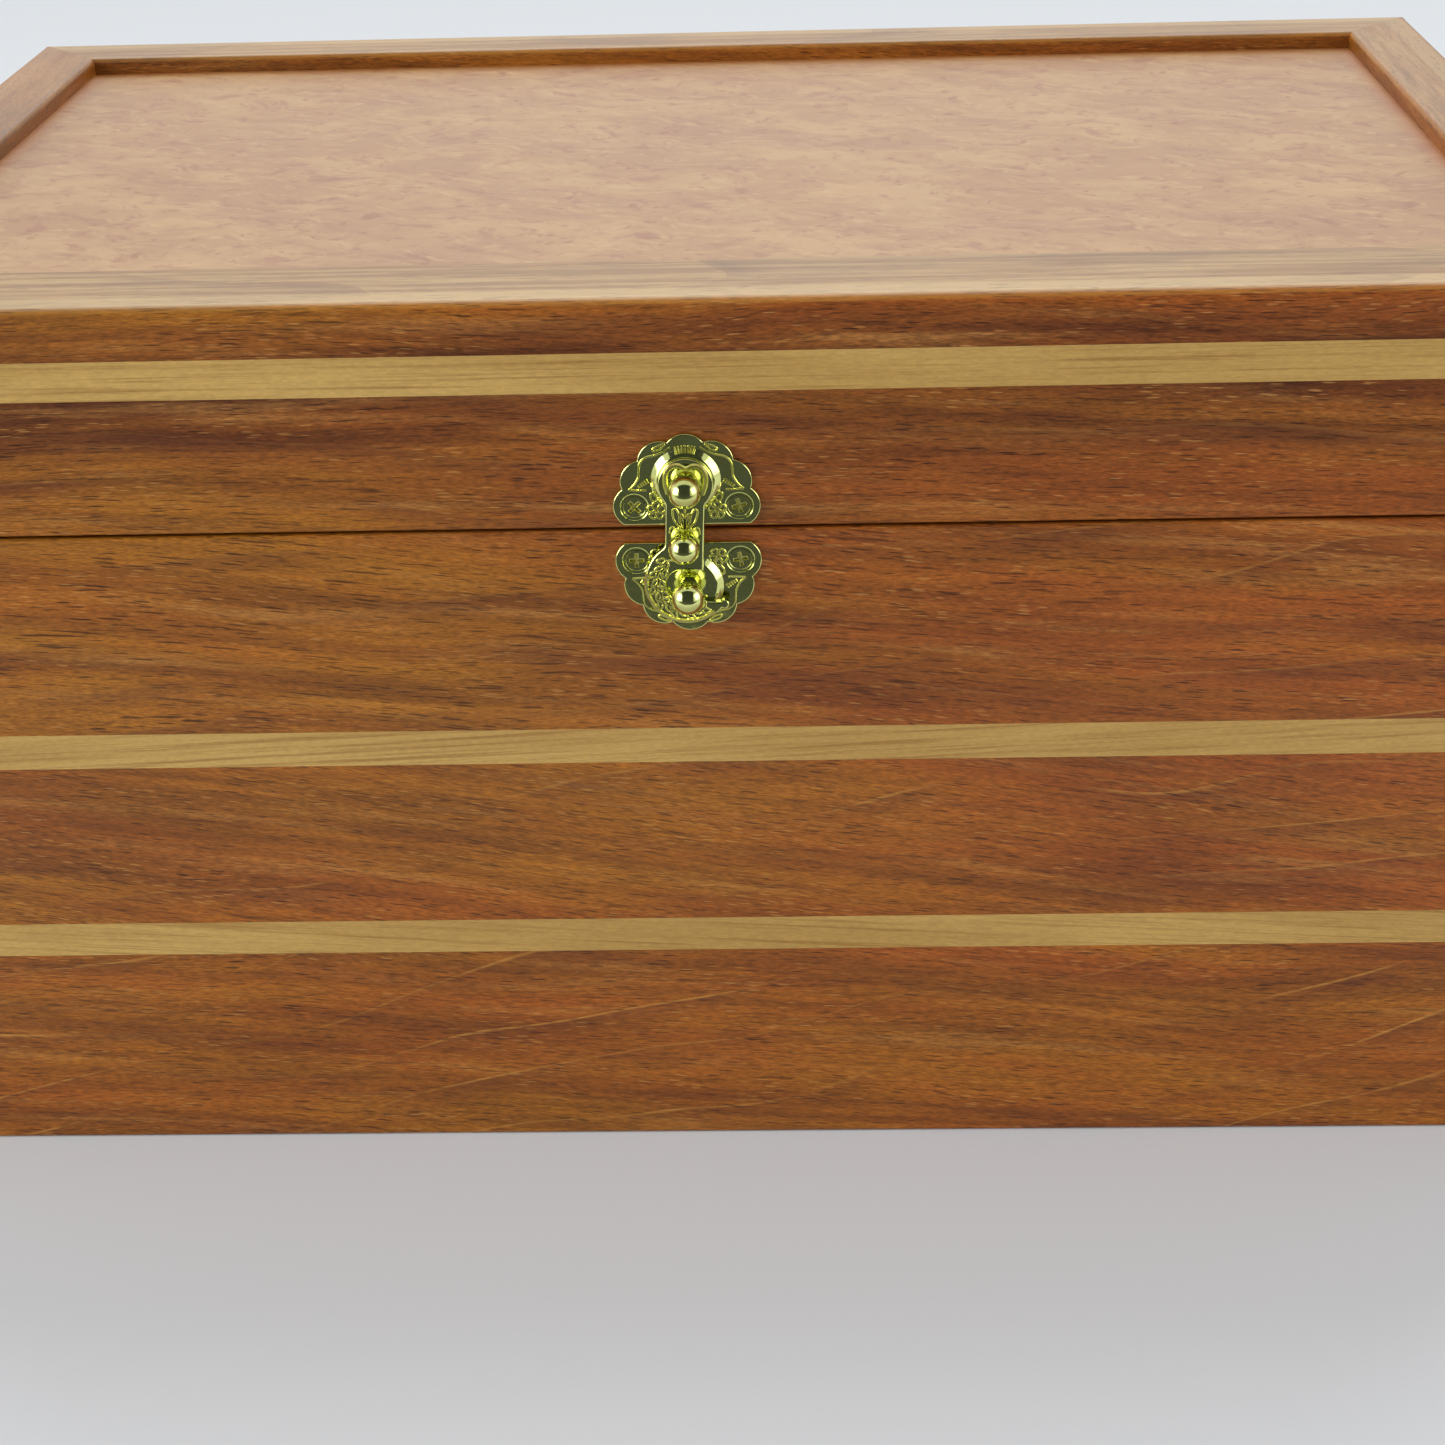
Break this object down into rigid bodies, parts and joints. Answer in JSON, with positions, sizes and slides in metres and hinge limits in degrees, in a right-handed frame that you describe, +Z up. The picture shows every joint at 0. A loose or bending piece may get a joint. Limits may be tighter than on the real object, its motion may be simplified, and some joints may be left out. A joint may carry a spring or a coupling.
{
  "type": "donation box",
  "caption": "Rectangular wooden box with pale inlaid stripes, mitred corners, a recessed figured lid panel, rear hinges and a front swing latch.",
  "frame": {"origin": "middle of the underside, on the surface that the box stands on", "axes": "+X to the right as seen from the front, +Y from front to back, +Z up; the latch faces -Y"},
  "size_m": [0.356, 0.2648, 0.1768],
  "materials": {
    "jatoba": "satin oiled jatoba, orange brown with short dark pores",
    "maple": "satin oiled maple, honey tan with fine grain",
    "burl_veneer": "satin oiled pommele veneer, pinkish red brown with a mottled figure",
    "birch_plywood": "sanded birch plywood",
    "plated_brass": "bright plated stamping, polished",
    "hinge_brass": "plain drawn brass, satin"
  },
  "bodies": {
    "case": {"front_lower_board": "jatoba", "front_lower_stripe": "maple", "front_middle_board": "jatoba", "front_upper_stripe": "maple", "front_upper_board": "jatoba", "right_lower_board": "jatoba", "right_lower_stripe": "maple", "right_middle_board": "jatoba", "right_upper_stripe": "maple", "right_upper_board": "jatoba", "back_lower_board": "jatoba", "back_lower_stripe": "maple", "back_middle_board": "jatoba", "back_upper_stripe": "maple", "back_upper_board": "jatoba", "left_lower_board": "jatoba", "left_lower_stripe": "maple", "left_middle_board": "jatoba", "left_upper_stripe": "maple", "left_upper_board": "jatoba", "bottom_panel": "birch_plywood", "left_hinge_case_leaf": "hinge_brass", "left_hinge_pin": "hinge_brass", "right_hinge_case_leaf": "hinge_brass", "right_hinge_pin": "hinge_brass", "case_hinge_screws": "hinge_brass", "keeper_plate": "plated_brass", "keeper_stud": "plated_brass", "keeper_plate_screws": "plated_brass"},
    "lid": {"lid_front_lower_board": "jatoba", "lid_front_stripe": "maple", "lid_front_top_board": "jatoba", "lid_right_lower_board": "jatoba", "lid_right_stripe": "maple", "lid_right_top_board": "jatoba", "lid_back_lower_board": "jatoba", "lid_back_stripe": "maple", "lid_back_top_board": "jatoba", "lid_left_lower_board": "jatoba", "lid_left_stripe": "maple", "lid_left_top_board": "jatoba", "lid_panel": "burl_veneer", "left_hinge_lid_leaf": "hinge_brass", "right_hinge_lid_leaf": "hinge_brass", "lid_hinge_screws": "hinge_brass", "latch_plate": "plated_brass", "latch_pivot_stud": "plated_brass", "latch_plate_screws": "plated_brass"},
    "latch_arm": {"latch_arm": "plated_brass", "latch_knob": "plated_brass"}
  },
  "joints": [
    {"name": "lid_hinge", "type": "hinge", "parent": "case", "child": "lid", "pos_m": [0, 0.127, 0.13285], "axis": [-1, 0, 0], "range_deg": [0, 95]},
    {"name": "latch_swing", "type": "hinge", "parent": "lid", "child": "latch_arm", "pos_m": [0, -0.12695, 0.14255], "axis": [0, 1, 0], "range_deg": [-4, 330]}
  ]
}
